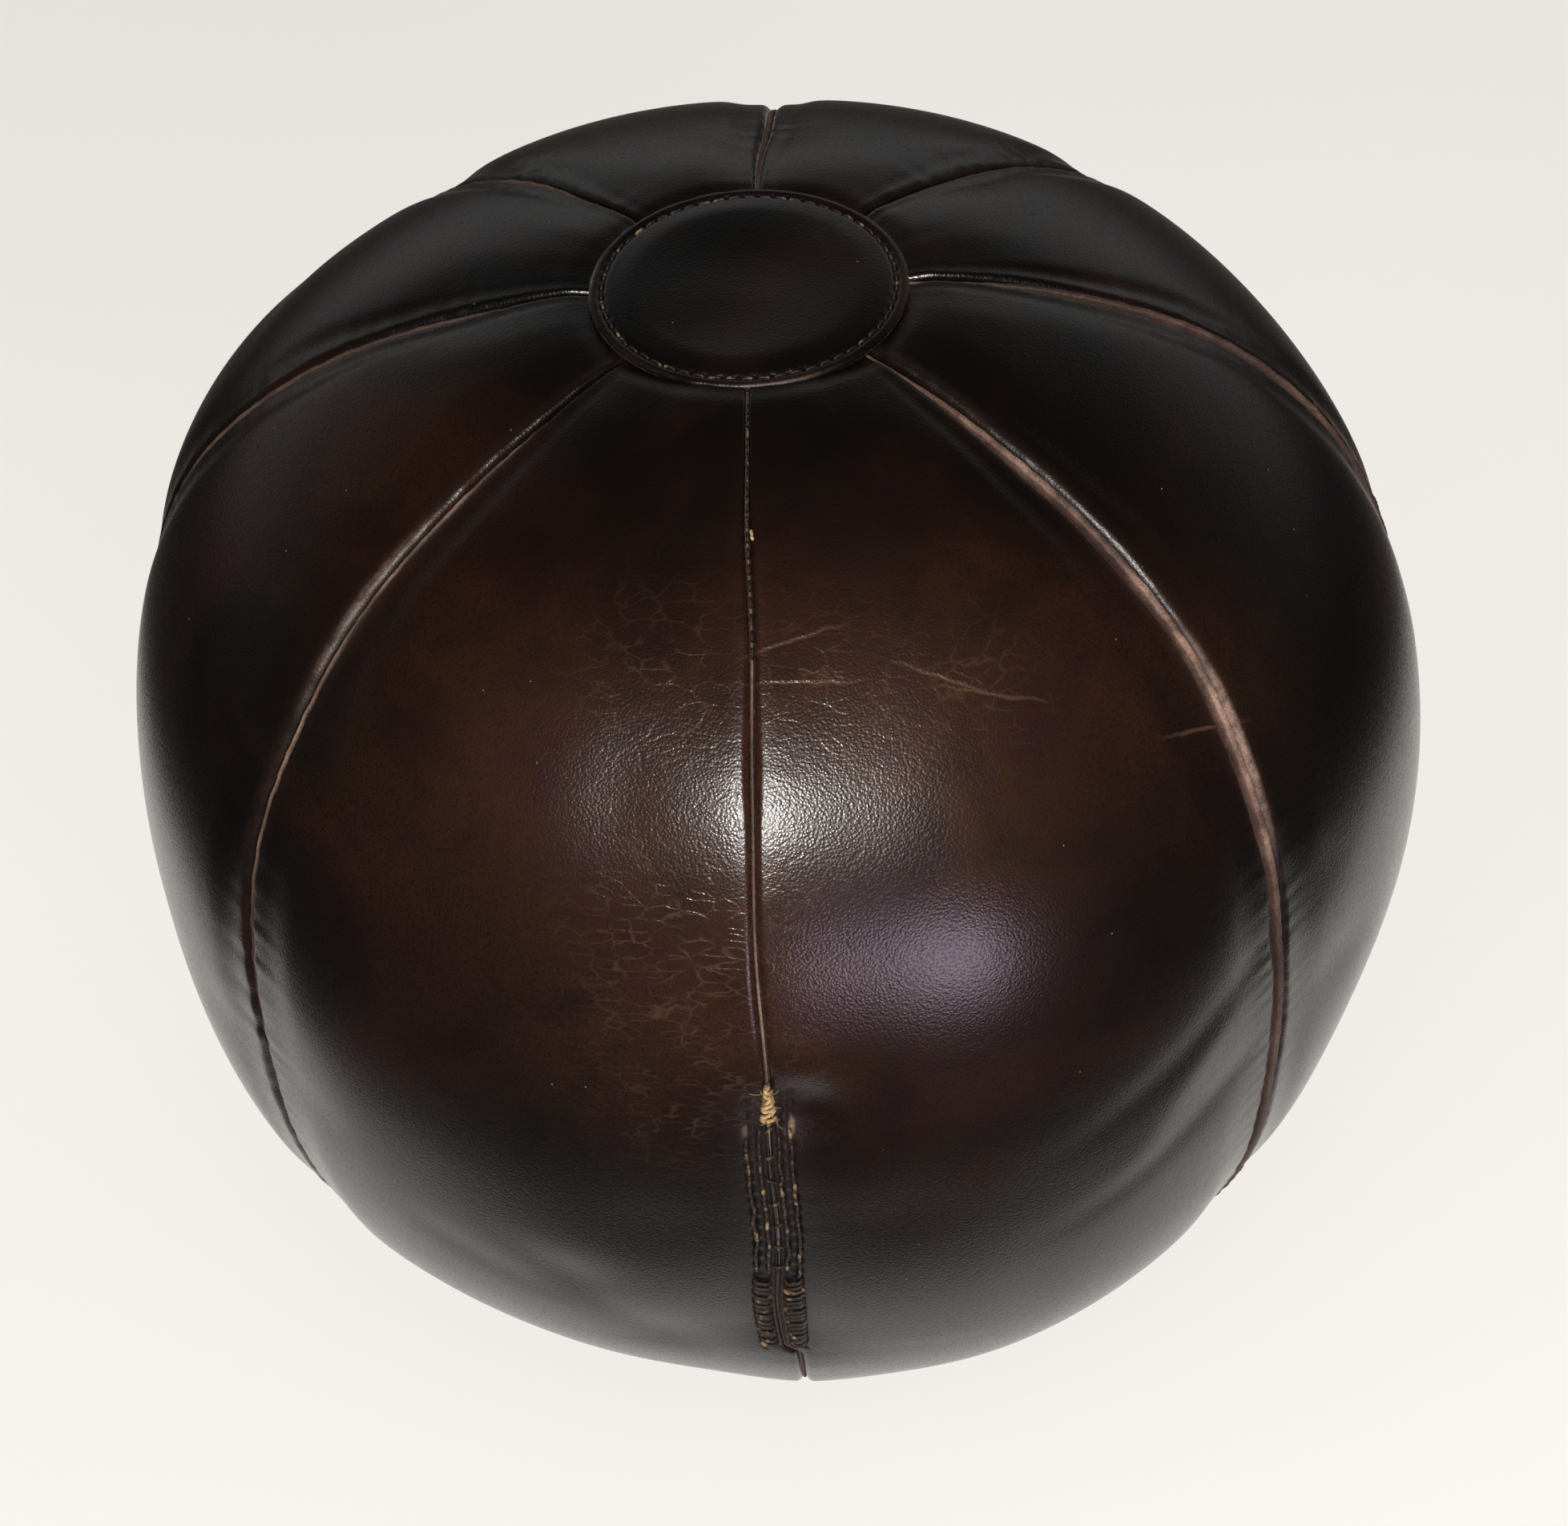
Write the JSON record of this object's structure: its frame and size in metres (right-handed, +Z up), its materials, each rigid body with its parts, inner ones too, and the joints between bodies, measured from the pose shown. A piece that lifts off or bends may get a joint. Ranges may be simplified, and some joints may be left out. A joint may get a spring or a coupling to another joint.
{
  "type": "medicine ball",
  "caption": "Hand-sewn leather medicine ball: lens-shaped panels with welted seams, round end caps and a stitched-up stuffing mouth over a packed lining.",
  "frame": {"origin": "middle of the flat outer face of the bottom cap, which the ball rests on", "axes": "+Z up through the bottom cap and the top cap; the stuffing mouth faces -Y; +X to the right of the mouth"},
  "size_m": [0.3399, 0.341, 0.3056],
  "materials": {
    "espresso_leather": "waxed, semi-gloss, fine grain, worn edges",
    "welt_leather": "matt cut edge, fibrous",
    "raw_leather": "matt, undyed flesh side",
    "waxed_thread": "waxed twisted thread",
    "raw_thread": "matt raw thread",
    "canvas": "plain woven canvas",
    "stuffing": "packed hair"
  },
  "bodies": {
    "root": {"bottom_cap": "espresso_leather", "bottom_cap_backing": "raw_leather", "bottom_cap_thread": "waxed_thread", "canvas_lining": "canvas", "closing_knot": "raw_thread", "closing_thread": "waxed_thread", "gore_1": "espresso_leather", "gore_2": "espresso_leather", "gore_3": "espresso_leather", "gore_4": "espresso_leather", "gore_5": "espresso_leather", "gore_6": "espresso_leather", "gore_7": "espresso_leather", "gore_8": "espresso_leather", "mouth_facing_left": "raw_leather", "mouth_facing_right": "raw_leather", "mouth_thread_left_inner": "waxed_thread", "mouth_thread_left_outer": "waxed_thread", "mouth_thread_right_inner": "waxed_thread", "mouth_thread_right_outer": "waxed_thread", "seam_thread_1_lower": "waxed_thread", "seam_thread_1_upper": "waxed_thread", "seam_thread_2": "waxed_thread", "seam_thread_3": "waxed_thread", "seam_thread_4": "waxed_thread", "seam_thread_5": "waxed_thread", "seam_thread_6": "waxed_thread", "seam_thread_7": "waxed_thread", "seam_thread_8": "waxed_thread", "stuffing": "stuffing", "top_cap": "espresso_leather", "top_cap_backing": "raw_leather", "top_cap_thread": "waxed_thread", "welt_1_lower": "welt_leather", "welt_1_upper": "welt_leather", "welt_2": "welt_leather", "welt_3": "welt_leather", "welt_4": "welt_leather", "welt_5": "welt_leather", "welt_6": "welt_leather", "welt_7": "welt_leather", "welt_8": "welt_leather"}
  },
  "joints": []
}
